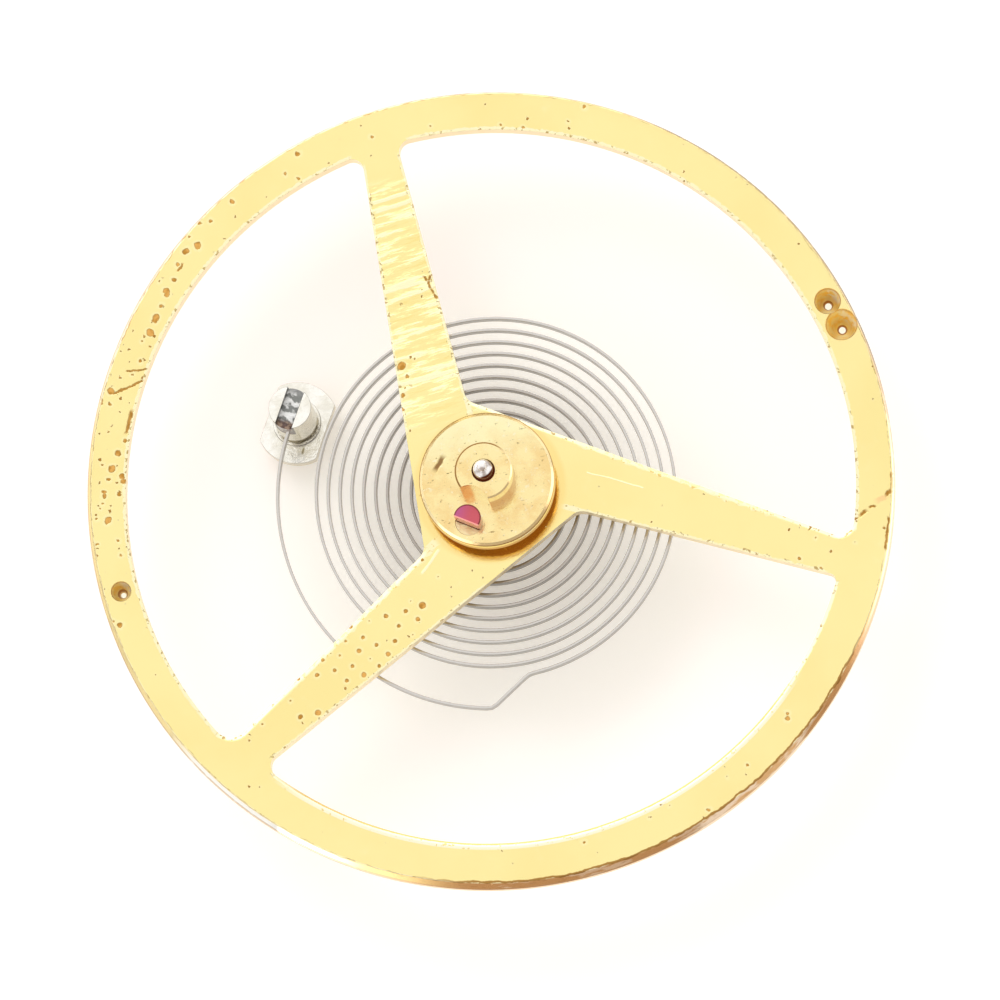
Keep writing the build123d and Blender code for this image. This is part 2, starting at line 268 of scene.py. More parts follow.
def finish(piece, node, body, material, smooth=40.0):
    """Shades a piece, brings it to metres and puts it in the place of its node."""
    only(piece)
    bpy.ops.object.shade_smooth_by_angle(angle=math.radians(smooth))
    change(piece, "WEIGHTED_NORMAL", weight=100, keep_sharp=True)
    piece.scale = (MM, MM, MM)
    settle(piece)
    piece.name = piece.data.name = node + "_finished"
    piece.data.materials.clear()
    piece.data.materials.append(material)
    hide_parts(node)
    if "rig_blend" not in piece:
        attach(piece, body)
    return piece


# Materials

class Value:
    """One output in a node tree. Arithmetic on it adds Math nodes."""

    def __init__(self, socket):
        self.socket = socket

    def maths(self, operation, *others):
        return add(self.socket.node.id_data, "ShaderNodeMath", {"operation": operation}, [self, *others])

    def __add__(self, other):
        return self.maths("ADD", other)

    def __radd__(self, other):
        return self + other

    def __mul__(self, other):
        return self.maths("MULTIPLY", other)

    def __rmul__(self, other):
        return self * other

    def __sub__(self, other):
        return self.maths("SUBTRACT", other)

    def __rsub__(self, other):
        return self * -1 + other

    def __truediv__(self, other):
        return self.maths("DIVIDE", other)

    def larger(self, other):
        return self.maths("MAXIMUM", other)

    def rises(self, low, high):
        """0 below low, 1 above high and smooth between; falls where low is the larger."""
        settings = {"interpolation_type": "SMOOTHSTEP"}
        if low < high:
            return add(self.socket.node.id_data, "ShaderNodeMapRange", settings, [self, low, high, 0.0, 1.0])
        return add(self.socket.node.id_data, "ShaderNodeMapRange", settings, [self, high, low, 1.0, 0.0])


def largest(values):
    first, *others = values
    for other in others:
        first = first.larger(other)
    return first


def add(tree, kind, settings, sockets, output=0):
    """Adds a node: its settings first, then the values or links of its sockets."""
    node = tree.nodes.new(kind)
    for name, value in settings.items():
        setattr(node, name, value)
    for key, value in sockets.items() if isinstance(sockets, dict) else enumerate(sockets):
        if isinstance(value, Value):
            tree.links.new(value.socket, node.inputs[key])
        else:
            node.inputs[key].default_value = value
    return Value(node.outputs[output])


def colour(tint):
    """Three values from 0 to 255 in the shader's terms. Four values, or a link, stay as they are."""
    if isinstance(tint, Value) or len(tint) == 4:
        return tint
    shares = [value / 255 for value in tint]
    return (*(s / 12.92 if s <= 0.04045 else ((s + 0.055) / 1.055) ** 2.4 for s in shares), 1.0)


def mixed(tree, factor, first, second):
    """A colour between two."""
    sockets = {0: factor, 6: colour(first), 7: colour(second)}
    return add(tree, "ShaderNodeMix", {"data_type": "RGBA"}, sockets, 2)


class Finish:
    """A material being made: its nodes, its place on the piece in millimetres, its paint and its shader."""

    def __init__(self, name):
        self.material = bpy.data.materials.new(name)
        self.material.use_nodes = True
        self.tree = self.material.node_tree
        self.shader = self.tree.nodes["Principled BSDF"]
        place = {"Vector": self.node("ShaderNodeTexCoord", {}, {}, "Object"), "Scale": 1 / MM}
        self.place = self.node("ShaderNodeVectorMath", {"operation": "SCALE"}, place)
        self.x, self.y, self.z = (self.node("ShaderNodeSeparateXYZ", {}, [self.place], i) for i in range(3))
        self.facing = self.node("ShaderNodeNewGeometry", {}, {}, "Normal")
        self.up = self.node("ShaderNodeSeparateXYZ", {}, [self.facing], 2)
        self.radius = self.reach()
        self.paint = None

    def node(self, kind, settings, sockets, output=0):
        return add(self.tree, kind, settings, sockets, output)

    def vector(self, operation, *sockets):
        output = int(operation in ("DOT_PRODUCT", "DISTANCE"))
        return self.node("ShaderNodeVectorMath", {"operation": operation}, sockets, output)

    def mixed(self, factor, first, second):
        return mixed(self.tree, factor, first, second)

    def coat(self, factor, tint):
        """Lays a colour over the paint."""
        self.paint = self.mixed(factor, self.paint, tint)

    def noise(self, scale, detail=2.0, roughness=0.5, where=None, output=0):
        return self.node("ShaderNodeTexNoise", {}, {
            "Vector": where or self.place, "Scale": scale, "Detail": detail, "Roughness": roughness}, output)

    def uneven(self, amount, scale, detail=2.0, roughness=0.5):
        """A wandering length about 0."""
        return (self.noise(scale, detail, roughness) - 0.5) * amount

    def stretched(self, along, across, up, turn=0.0):
        """The place in a turned and scaled grid: streaks run along the turn where along is the smaller."""
        return self.node("ShaderNodeMapping", {"vector_type": "TEXTURE"}, {
            "Vector": self.place, "Rotation": (0, 0, math.radians(turn)),
            "Scale": (1 / along, 1 / across, 1 / up)})

    def turning_marks(self):
        return self.noise(6.0, 4.0, 0.6, self.stretched(1.0, 1.0, 12.0))

    def toward(self, angle):
        """How far the surface faces a direction of the plan."""
        out = around(1, angle)
        return self.vector("DOT_PRODUCT", self.facing, (out.real, out.imag, 0))

    def reach(self, centre=0j):
        """The distance from a point of the plan."""
        across, up = self.x - centre.real, self.y - centre.imag
        return (across * across + up * up).maths("SQRT")

    def along(self, angle, centre=0j):
        """How far out along a direction of the plan, from a point of it."""
        out = around(1, angle)
        length = self.x * out.real + self.y * out.imag
        return length - (centre * out.conjugate()).real if centre else length

    def sector(self, angle, low, high):
        """1 round a direction of the plan; low and high are cosines of the angle off it."""
        return (self.along(angle) / self.radius).rises(low, high)

    def strip(self, start, end, width, bend=0.0):
        """1 on a straight mark from start to end, with ragged sides."""
        run = end - start
        angle = math.degrees(cmath.phase(run))
        across, along = self.along(angle + 90, start), self.along(angle, start)
        on_line = (across + bend).maths("ABSOLUTE").rises(width, width * 0.4)
        return on_line * along.rises(-width, width) * along.rises(abs(run) + width, abs(run) - width)

    def blots(self, marks, ragged):
        """How far inside the nearest of some marks, each a (centre, radius), with ragged outlines."""
        bent = self.vector("MULTIPLY_ADD", self.noise(11.0, 3.0, output=1), (ragged, ragged, 0), self.place)
        level = self.vector("MULTIPLY", bent, (1, 1, 0))
        return largest(
            radius - self.vector("DISTANCE", level, (centre.real + ragged / 2, centre.imag + ragged / 2, 0))
            for centre, radius in marks)

    def pits(self, cell, size, share, seed, ragged):
        """Pits of mixed sizes in some cells of the plan: the pit itself, and a halo round it."""
        shift = (ragged * size * 4,) * 3
        bent = self.vector("MULTIPLY_ADD", self.noise(0.7 / size, output=1), shift, self.place)
        cells = {"Vector": self.vector("ADD", bent, (seed, seed * 2, 0)), "Scale": 1 / cell}
        distance = self.node("ShaderNodeTexVoronoi", {"voronoi_dimensions": "2D"}, cells, "Distance") * cell
        chance = self.node("ShaderNodeTexVoronoi", {"voronoi_dimensions": "2D"}, cells, "Color")
        dice, width = (self.node("ShaderNodeSeparateColor", {}, [chance], i) for i in range(2))
        radius = (width * 0.65 + 0.35) * size
        chosen = (share - dice).rises(0.0, 0.02)
        halo = (radius * 1.4 + size * 0.35 - distance).rises(0.0, size * 0.5)
        return (radius - distance).rises(0.0, size * 0.3) * chosen, halo * chosen

    def done(self, depth=None, distance=0.0, **sockets):
        """Gives the shader its paint and other values, and a bump in millimetres if there is a depth."""
        sockets["Base_Color"] = self.paint
        if depth is not None:
            bump = {"Strength": 1.0, "Distance": distance * MM, "Height": depth}
            sockets["Normal"] = self.node("ShaderNodeBump", {}, bump)
        for name, value in sockets.items():
            socket = self.shader.inputs[name.replace("_", " ")]
            if isinstance(value, Value):
                self.tree.links.new(value.socket, socket)
            else:
                socket.default_value = value
        return self.material


# Stains and pits of the wheel, each at x and y in hundredths of a millimetre with its radius in thousandths
ARM_SPOTS = (
    (-83, -90, 25), (-82, -147, 50), (-103, -155, 32), (-88, -165, 35), (-127, -161, 35),
    (-111, -173, 30), (-116, -192, 32), (-124, -208, 35), (-171, -173, 34), (-155, -187, 30),
    (-139, -197, 30), (-160, -204, 34), (-177, -192, 22), (-184, -210, 22), (-205, -215, 28),
    (-168, -223, 30), (-190, -228, 30), (-212, -234, 34), (-235, -238, 30), (-175, -241, 30),
    (-154, -234, 38), (-135, -223, 30), (-225, -224, 22), (-232, -286, 36), (-210, -281, 42),
    (-244, -266, 18), (-279, -295, 18), (-148, -167, 14), (-146, -214, 15), (-97, -142, 14),
    (-94, -184, 15), (-195, -207, 13), (-63, -112, 13),
)
RIM_STAINS = (
    (-361, 304, 46), (-376, 297, 40), (-386, 280, 28), (-390, 261, 28), (-400, 246, 42), (-399, 241, 40),
    (-406, 228, 30), (-411, 213, 40), (-413, 209, 34), (-419, 194, 46), (-429, 182, 16), (-408, 258, 16),
    (-431, 158, 26), (-441, 140, 18), (-468, 103, 20), (-467, 119, 45), (-448, 57, 30), (-456, 41, 42),
    (-476, 27, 18), (-464, 22, 42), (-467, 8, 26), (-452, 12, 36), (-450, 6, 34), (-473, -8, 30),
    (-473, -13, 28), (-454, -10, 28), (-475, -22, 18), (-478, -29, 16), (-482, -42, 16), (-468, -43, 48),
    (-481, -73, 20), (-455, -69, 20), (-451, -87, 18), (-451, -174, 38), (-459, -170, 16),
    (-238, 420, 36), (-254, 395, 22), (-237, 389, 24), (-319, 360, 30), (-346, 336, 28), (-359, 332, 28),
    (-372, 315, 20), (-146, 443, 24), (-73, 457, 18), (14, 459, 20), (41, 454, 22), (117, 481, 28),
    (97, 462, 18), (368, -287, 36), (368, -280, 26), (319, -344, 24), (272, -400, 24), (120, -442, 20),
    (-107, 152, 50), (-101, 139, 28), (-103, 124, 16), (-104, 115, 32), (-105, 98, 28), (-91, 162, 18),
    (441, -51, 20), (403, -62, 14), (383, -88, 22), (409, -99, 18), (451, -68, 12), (225, -395, 12),
    (200, -410, 12), (295, -360, 12),
)
# Cracks and streaks, each from one place to another with its half width, in thousandths of a millimetre
CRACKS = (
    (-4650, 1155, -4270, 1330, 20), (-4480, 1445, -4220, 1475, 18), (-4790, 1130, -4770, 1020, 18),
    (-4400, 950, -4470, 660, 34), (-3860, 2710, -3790, 2810, 18), (-805, 2655, -760, 2600, 18),
    (-720, 2670, -750, 2600, 18), (-750, 2600, -715, 2500, 20), (-715, 2500, -680, 2435, 20),
    (-680, 2435, -630, 2375, 22), (4470, -390, 4540, -355, 18), (4560, -335, 4650, -280, 32),
    (4680, -240, 4760, -215, 16), (4880, -85, 4955, -10, 30), (4950, 10, 4955, 200, 18),
    (3980, -440, 3950, -530, 18), (4920, -355, 4880, -760, 20),
)
SCRATCHES = (
    (-1.49 + 3.59j, -1.01 + 3.74j, 0.030), (-1.45 + 3.48j, -1.00 + 3.63j, 0.034),
    (1.20 + 0.18j, 1.90 - 0.02j, 0.010), (-0.83 - 1.08j, -0.62 - 0.78j, 0.020),
)


def seen(x, y):
    """A mark's place on the wheel from its place in the picture, which sees the wheel a little turned."""
    return complex(x * 1.006 - 0.028, y - 0.0096 * x)


def gilt_wheel():
    """Bright gilding on brass: one arm scratched, one spotted, the rim pitted and stained; its edges, lip,
    walls and drillings carry painted highlights, reflections and shade.
    """
    gilt = Finish("gilt_brass_wheel")
    reach = gilt.radius
    flat, wall = gilt.up.rises(0.97, 0.995), gilt.up.rises(0.5, 0.2)
    gilt.paint = gilt.mixed(gilt.noise(0.7, 4.0).rises(0.35, 0.7), (255, 238, 168), (252, 233, 160))
    gilt.coat(gilt.noise(7.0, 4.0, 0.6).rises(0.58, 0.85) * 0.35, (255, 244, 190))

    # Scratches rising across the upper arm
    upper_arm = gilt.along(105).rises(0.75, 1.3) * gilt.along(105).rises(4.2, 3.9)
    upper_arm = upper_arm * gilt.along(15).maths("ABSOLUTE").rises(1.05, 0.95)
    grain = gilt.noise(1.0, 5.0, 0.68, gilt.stretched(1.6, 13.0, 1.0, 17))
    bend = gilt.uneven(0.04, 5.0, 3.0)
    scratch = largest([grain.rises(0.50, 0.62) * upper_arm, *(gilt.strip(*mark, bend) for mark in SCRATCHES)])
    gilt.coat(grain.rises(0.46, 0.36) * upper_arm * 0.6, (250, 226, 144))
    gilt.coat(scratch * 0.75, (255, 252, 214))
    skin = gilt.paint

    # Stains and pits, with a light halo
    near_left = gilt.reach(-4.7 + 0.7j).rises(2.5, 0.875) * reach.rises(RIM_INSIDE, RIM_INSIDE + 0.04)
    speck, speck_halo = gilt.pits(0.13, 0.020, near_left * 0.5 + 0.06, 5.0, 0.6)
    spots = [(complex(x, y) / 100, radius / 1000) for x, y, radius in ARM_SPOTS]
    stains = [(seen(x / 100, y / 100), radius / 1000 * 1.1) for x, y, radius in RIM_STAINS]
    deepest = gilt.blots(spots, 0.03).larger(gilt.blots(stains, 0.075))
    jagged = gilt.uneven(0.07, 12.0, 3.0, 0.6)
    crack = largest(
        gilt.strip(seen(a / 1000, b / 1000), seen(c / 1000, d / 1000), width / 1000, jagged)
        for a, b, c, d, width in CRACKS)
    faded = gilt.strip(seen(4.77, -0.155), seen(4.90, -0.09), 0.05, jagged)
    pit = deepest.rises(0.0, 0.012).larger(speck).larger(crack)
    tone = gilt.mixed(gilt.noise(14.0, 3.0).rises(0.38, 0.62), (190, 138, 62), (226, 174, 96))
    tone = gilt.mixed(deepest.rises(0.018, 0.006) * 0.5, tone, (156, 114, 52))
    gilt.coat(deepest.rises(-0.032, -0.012).larger(speck_halo) * 0.3, (255, 248, 200))
    gilt.coat(faded * 0.7, (252, 206, 148))

    # Cut edges: cream fringes with dark teeth, partly burrs and partly painted highlight; a wide burr with a
    # painted highlight on the upward sides of two arms; a painted highlight on a ledge in the lower window
    rag = gilt.noise(17.0, 3.0, 0.6)
    edge_teeth_and_highlight = gilt.mixed(rag.rises(0.56, 0.64), (255, 247, 205), (186, 156, 98))
    butter = (255, 246, 196)
    lower_window = gilt.sector(285, 0.47, 0.50)
    ledge_width = RIM_INSIDE - LEDGE_EDGE
    edges, insides, burr_highlights = [], [], []
    for i in range(3):
        arm = ARM_EDGE_ANGLE + 120 * i
        out = gilt.along(arm).rises(0.85, 1.0) * (reach + ledge_width * lower_window).rises(4.42, 4.34)
        straight_side = gilt.along(arm - 90)
        slant_side = gilt.along(arm + 90 - math.degrees(math.atan(ARM_TAPER))) - ARM_SLANT
        nearer = straight_side.larger(slant_side)
        edges.append((nearer + (rag - 0.5) * 0.08).rises(-0.036, -0.020) * nearer.rises(0.05, 0.03) * out)
        insides.append(nearer.rises(0.16, 0.11) * gilt.along(arm).rises(0.5, 0.6))
        if i > 0:
            side = straight_side if i == 1 else slant_side
            # The wide band: partly burr, partly a painted highlight on a side that faces upward
            burr_highlight = (side + gilt.uneven(0.12, 8.0, 3.0)).rises(-0.070, -0.055) * side.rises(0.05, 0.03) * out
            burr_highlights.append(burr_highlight * gilt.along(arm).rises(3.9, 3.1))
    wide_burr_highlight = largest(burr_highlights)
    from_edge = reach - RIM_INSIDE + lower_window * ledge_width
    beside_rim = (from_edge + (rag - 0.5) * 0.06).rises(0.046, 0.030) * from_edge.rises(-0.06, -0.05)
    gilt.coat(largest(edges).larger(beside_rim * (1 - largest(insides))) * 0.85, edge_teeth_and_highlight)
    gilt.coat(wide_burr_highlight, gilt.mixed(rag.rises(0.56, 0.64), butter, (240, 208, 128)))
    # Bevels painted cream with dark teeth: partly burr, partly painted highlight
    gilt.coat(1 - flat, edge_teeth_and_highlight)
    gilt.coat(wide_burr_highlight * (1 - wall) * (1 - flat), gilt.mixed(rag.rises(0.45, 0.6), butter, skin))
    # Painted highlight on the ledge, white and cream, with a darker line at the window's edge
    ledge_highlight = from_edge.rises(0.088, 0.070) * from_edge.rises(-0.03, -0.02) * lower_window * (1 - wall)
    ledge_highlight = ledge_highlight * gilt.sector(281, 0.66, 0.76)
    gilt.coat(ledge_highlight, gilt.mixed(rag.rises(0.60, 0.68), (255, 249, 218), (244, 218, 146)))
    gilt.coat(ledge_highlight * (from_edge + (rag - 0.5) * 0.02).rises(0.025, 0.015), (222, 190, 118))
    gilt.coat(pit, tone)

    # The lip, painted by direction as reflection and shade: a white highlight at the lower left, brown with
    # pinkish highlight dashes below, a fine dark line elsewhere
    turn = gilt.y.maths("ARCTAN2", gilt.x)
    ring = gilt.node("ShaderNodeCombineXYZ", {}, [turn * 5.0, reach * 6.0, gilt.z * 6.0])
    dash, fine = gilt.noise(1.6, 4.0, 0.6, ring), gilt.noise(6.0, 3.0, 0.6, ring)
    below, upper_left = gilt.sector(-60, 0.73, 0.86), gilt.sector(128, 0.70, 0.86)
    lip_edge = gilt.reach(CHAMFER_SHIFT * 1j) - (WHEEL_RADIUS - RIM_CHAMFER)
    tan = gilt.mixed(dash.rises(0.54, 0.62), (234, 184, 128), (255, 226, 194))
    tan = gilt.mixed(fine.rises(0.55, 0.70) * 0.5, tan, (196, 146, 90))
    lip = gilt.mixed(upper_left, (250, 228, 166), (255, 246, 222))
    blush = gilt.mixed(lip_edge.rises(0.008, 0.020), (252, 226, 160), (255, 232, 206))
    lip = gilt.mixed(gilt.sector(20, 0.60, 0.75), lip, blush)
    lip = gilt.mixed(below, lip, tan)
    lip = gilt.mixed(gilt.sector(235, 0.950, 0.985) * lip_edge.rises(0.006, 0.014), lip, (255, 252, 244))
    gilt.coat(lip_edge.rises(-0.004, 0.004), lip)
    off_line = (lip_edge + 0.010 * below + gilt.uneven(0.07, 6.0, 3.0)).maths("ABSOLUTE")
    in_places = largest([below, upper_left * fine.rises(0.45, 0.6), fine.rises(0.44, 0.54) * 0.4])
    ragged_line = (0.010 + 0.006 * below - off_line).rises(0.0, 0.006) * in_places
    gilt.coat(ragged_line, gilt.mixed(upper_left, (176, 132, 70), (216, 172, 112)))
    last = reach.rises(4.980, 4.988) * (fine.rises(0.30, 0.45) * 0.8)
    last_tint = gilt.mixed(gilt.sector(42, 0.86, 0.95), (222, 192, 158), (130, 118, 100))
    gilt.coat(last * (1 - below * 0.5), last_tint)
    # Walls painted pink-cream with dashes: a painted reflection of the surroundings
    rim_wall = gilt.mixed(dash.rises(0.40, 0.70), (238, 202, 154), (252, 228, 190))
    gilt.coat(wall, gilt.mixed(reach.rises(4.80, 4.85), (246, 226, 178), rim_wall))

    # Under the roller's edge: a painted warm reflection of the roller on the wheel
    beside_table = reach.rises(1.15, 1.0)
    gilt.coat(beside_table * reach.rises(0.98, 0.90) * flat * 0.6, (255, 222, 140))

    # Poise drillings: a painted highlight at the upper right, painted dark rings at the mouth and round the
    # tip, and the tip painted bright as a highlight
    bores = []
    for centre, radius, depth in DRILLINGS:
        inside = gilt.reach(centre)
        drilled = inside.rises(radius, radius - 0.01) * gilt.z.rises(WHEEL_TOP - 0.002, WHEEL_TOP - 0.01)
        shine = (gilt.along(48, centre) - radius * 0.35).rises(0.0, 0.05)
        bore = gilt.mixed(gilt.noise(9.0, 3.0).rises(0.4, 0.6), (255, 220, 116), (255, 238, 168))
        for share, tint in (
            (shine * gilt.noise(12.0, 3.0).rises(0.42, 0.55), (255, 252, 232)),
            (inside.rises(radius * 0.88, radius * 0.97) * 0.7, (206, 158, 84)),
            (inside.rises(0.068, 0.058), (190, 130, 62)),
            (inside.rises(0.046, 0.040), (255, 250, 230)),
        ):
            bore = gilt.mixed(share, bore, tint)
        gilt.coat(drilled, bore)
        bores.append(drilled * inside.rises(0.040, 0.046))
    in_bore = largest(bores)
    waves = gilt.noise(30.0) * 0.1 + gilt.noise(1.2) * 1.5
    return gilt.done(
        waves + scratch * 0.4 - pit, 0.005, Metallic=1 - 0.5 * in_bore,
        Roughness=0.17 + 0.3 * pit + 0.06 * scratch + 0.12 * wall + 0.08 * in_bore - 0.07 * beside_table)


def gilt_roller():
    """Gilding over a turned face: mottled, fine flecks, painted light and shade where its steps catch the
    light, and a painted glow beneath.
    """
    gilt = Finish("gilt_brass_roller")
    reach = gilt.radius
    gilt.paint = gilt.mixed(gilt.noise(3.5, 5.0, 0.65).rises(0.40, 0.62), (254, 234, 172), (247, 216, 150))
    # Painted sheen: the face lighter towards +y
    gilt.coat((gilt.along(100) + gilt.uneven(0.5, 5.0, 3.0)).rises(0.05, 0.75) * 0.8, (255, 249, 200))
    gilt.coat(gilt.noise(14.0, 4.0, 0.7).rises(0.55, 0.72) * 0.6, (255, 250, 216))
    fleck = gilt.noise(1.0, 3.0, 0.7, gilt.stretched(14.0, 34.0, 10.0, 10)).rises(0.66, 0.72)
    long_pit = gilt.strip(-0.637 + 0.107j, -0.537 + 0.282j, 0.046, gilt.uneven(0.04, 12.0))
    dark = fleck.larger(long_pit)
    gilt.coat((dark * 0.6).larger(long_pit * 0.9), gilt.mixed(long_pit, (172, 146, 84), (136, 94, 50)))

    # Bevels painted pale as highlights, but painted dark as shade at the upper left of the safety roller and
    # on the table's outermost line
    edge = gilt.up.rises(0.98, 0.94) * gilt.up.rises(0.15, 0.3)
    edge = edge * (1 - gilt.reach(JEWEL_CENTRE).rises(JEWEL_RADIUS + 0.03, JEWEL_RADIUS + 0.02))
    upper_left_shade = gilt.toward(140).rises(-0.25, 0.25) * reach.rises(0.60, 0.55)
    gilt.coat(edge, gilt.mixed(upper_left_shade, (252, 232, 180), (158, 116, 62)))
    gilt.coat(edge * reach.rises(TABLE_RADIUS - 0.012, TABLE_RADIUS - 0.007), (190, 144, 84))

    # Walls painted pale above with painted shade at their feet; painted reflections in the crescent and
    # painted shade in the bore
    wall = gilt.up.rises(0.3, 0.15) * gilt.up.rises(-0.3, -0.15)
    above_table = gilt.z.rises(TABLE_TOP - 0.03, TABLE_TOP - 0.02)
    low = gilt.z.rises(TABLE_TOP - 0.10, TABLE_TOP - 0.16)
    low = low.larger(gilt.z.rises(SAFETY_TOP - 0.22, SAFETY_TOP - 0.30) * above_table)
    gilt.coat(wall, gilt.mixed(low, (255, 242, 196), (198, 140, 60)))
    in_hollow = gilt.reach(CRESCENT_CENTRE).rises(CRESCENT_RADIUS + 0.008, CRESCENT_RADIUS + 0.002)
    hollow_tint = gilt.mixed(gilt.toward(195).rises(0.20, 0.40), (238, 158, 48), (255, 250, 230))
    gilt.coat(in_hollow * wall * above_table, hollow_tint)
    bore = reach.rises(BORE_TOP + 0.02, BORE_TOP + 0.01) * gilt.z.rises(SAFETY_TOP - 0.004, SAFETY_TOP - 0.02)
    gilt.coat(bore, (120, 60, 20))
    # Underside painted warm with a glow: painted light bounced under the table
    under = gilt.up.rises(-0.5, -0.9)
    gilt.coat(under, (190, 160, 100))
    return gilt.done(
        gilt.noise(10.0, 4.0, 0.6) * 0.5 - dark, 0.005, Metallic=1.0, Roughness=0.15 + 0.25 * dark,
        Emission_Color=gilt.mixed(under, (0, 0, 0), (108, 72, 26)), Emission_Strength=1.0)


def turned_brass():
    """Plain brass with faint turning marks."""
    brass = Finish("plain_brass")
    mark = brass.turning_marks()
    brass.paint = brass.mixed(mark.rises(0.3, 0.7), (226, 190, 120), (213.4, 179.4, 113))
    return brass.done(mark, 0.002, Metallic=1.0, Roughness=0.28 + 0.06 * mark)


def staff_steel():
    """Polished steel: the tip painted bright with mottled painted reflections; the neck below the dial-side
    shoulder and the shoulder's lower right painted brown as shade, the neck with a dark painted glow.
    """
    steel = Finish("staff_steel")
    mark = steel.turning_marks()
    tip = steel.z.rises(DIAL_SHOULDER_FOOT, DIAL_SHOULDER_FOOT + 0.01)
    steel.paint = steel.mixed(mark.rises(0.3, 0.7), (236, 232, 230), (208, 204, 200))
    # Tip painted bright, with mottled painted reflections
    steel.coat(tip, (255, 252, 250))
    steel.coat(steel.noise(9.0, 2.0, 0.4).rises(0.40, 0.60) * tip, (176, 160, 150))
    # Painted shade: the neck and the shoulder's lower right brown, the neck glowing dark red
    neck = steel.z.rises(DIAL_SHOULDER_FOOT + 0.005, DIAL_SHOULDER_FOOT - 0.005)
    neck = neck * steel.z.rises(HUB_TOP, HUB_TOP + 0.05)
    shaded_shoulder = steel.toward(-50).rises(0.35, 0.6) * tip * steel.radius.rises(0.07, 0.08)
    steel.coat(neck.larger(shaded_shoulder), (92, 44, 20))
    return steel.done(
        mark, 0.003, Metallic=1.0, Roughness=0.1 + 0.05 * mark,
        Emission_Color=steel.mixed(neck, (0, 0, 0), (66, 24, 8)), Emission_Strength=1.0)


def jewel_red():
    """Synthetic ruby, polished: violet to red across it, painted shade round its edge and down its sides, a
    painted shadow at its foot, and a painted highlight on its flat.
    """
    ruby = Finish("ruby")
    side = (ruby.along(-20) + ruby.noise(3.0) * 0.1).rises(-0.16, 0.08)
    past_flat = ruby.along(ROLLER_ANGLE) - (JEWEL_PLACE + JEWEL_FLAT)
    ruby.paint = ruby.mixed(side, (184, 90, 142), (200, 90, 102))
    ruby.coat(ruby.reach(JEWEL_CENTRE).rises(JEWEL_RADIUS - 0.024, JEWEL_RADIUS - 0.010), (130, 54, 54))
    ruby.coat(past_flat.rises(-0.020, -0.010), (255, 170, 160))
    ruby.coat(ruby.z.rises(JEWEL_TOP - 0.012, JEWEL_TOP - 0.03), (196, 84, 72))
    ruby.coat(ruby.z.rises(SHELLAC_TOP + 0.12, SHELLAC_TOP + 0.04), (124, 40, 32))
    return ruby.done(Roughness=0.12, Specular_IOR_Level=0.2)


def set_shellac():
    """Shellac, glossy and uneven."""
    glue = Finish("shellac")
    lumps = glue.noise(9.0, 3.0)
    glue.paint = glue.mixed(lumps.rises(0.35, 0.65), (253, 228, 166), (255, 240, 190))
    return glue.done(lumps, 0.01, Metallic=0.75, Roughness=0.3)


def ridged_cement():
    """Cement drawn into ridges across the slot: painted white highlights on the ridges and painted grey shade
    in the hollows, brown where the spring enters.
    """
    glue = Finish("cement")
    run = glue.along(SLOT_ANGLE, STUD_CENTRE)
    ripple = ((run * (math.tau / 0.16) + glue.noise(9.0, 3.0) * 9.0).maths("SINE") + 1) * 0.5
    glue.paint = glue.mixed(ripple.rises(0.10, 0.55), (128, 130, 126), (252, 252, 250))
    glue.coat(run.rises(-0.17, -0.24), (150, 150, 148))
    brown = glue.mixed(glue.noise(14.0, 3.0).rises(0.45, 0.60), (84, 54, 42), (150, 122, 100))
    glue.coat(run.rises(0.13, 0.19), brown)
    return glue.done(ripple, 0.02, Roughness=0.15, Coat_Weight=0.5)


def stud_steel():
    """Bright steel with painted darker edges and a beige side, the light of the paper in it; a painted shadow
    at the post's foot and painted shade on the slot's sides.
    """
    steel = Finish("stud_steel")
    mark = steel.noise(5.0, 4.0, 0.6)
    wall = steel.up.rises(0.5, 0.2)
    steel.paint = steel.mixed(mark.rises(0.35, 0.65), (255, 253, 246), (240, 236, 224))
    steel.coat(wall, (216, 208, 188))
    steel.coat(steel.up.rises(0.97, 0.85) * (1 - wall), (112, 106, 96))
    # Painted shadow at the post's foot, on its lower right
    foot = steel.z.rises(GROOVE_TOP + 0.03, GROOVE_TOP) * steel.z.rises(HEAD_TOP + 0.005, HEAD_TOP + 0.02)
    steel.coat(foot * steel.toward(-68).rises(0.80, 0.95), (104, 90, 70))
    # Painted shade on the slot's sides
    beside_slot = steel.along(SLOT_ANGLE - 90, STUD_CENTRE).maths("ABSOLUTE")
    beside_slot = beside_slot.rises(SLOT_WIDTH / 2 + 0.030, SLOT_WIDTH / 2 + 0.018)
    beside_slot = beside_slot * steel.z.rises(SLOT_FOOT - 0.02, SLOT_FOOT)
    beside_slot = beside_slot * steel.z.rises(POST_TOP + 0.01, POST_TOP)
    steel.coat(beside_slot * steel.up.rises(0.999, 0.98), (92, 88, 82))
    notch = steel.strip(STUD_CENTRE + (0.03 - 0.39j), STUD_CENTRE + (0.05 - 0.31j), 0.018, 0.04)
    steel.coat(notch * 0.8, (150, 138, 96))
    return steel.done(mark, 0.01, Metallic=1.0, Roughness=0.2)


def spring_steel():
    """A drawn ribbon: pale on its edge as a painted highlight, grey on its sides as painted shade, darker
    towards the collet.
    """
    steel = Finish("spring_steel")
    inner = steel.radius.rises(1.9, 1.0)
    steel.paint = steel.mixed(inner, (212, 208, 203), (176, 168, 160))
    steel.coat(steel.up.rises(0.9, 0.5), steel.mixed(inner, (150, 146, 142), (96, 88, 80)))
    return steel.done(steel.noise(20.0), 0.001, Metallic=1.0, Roughness=0.2 + 0.05 * steel.noise(6.0))


# Pieces

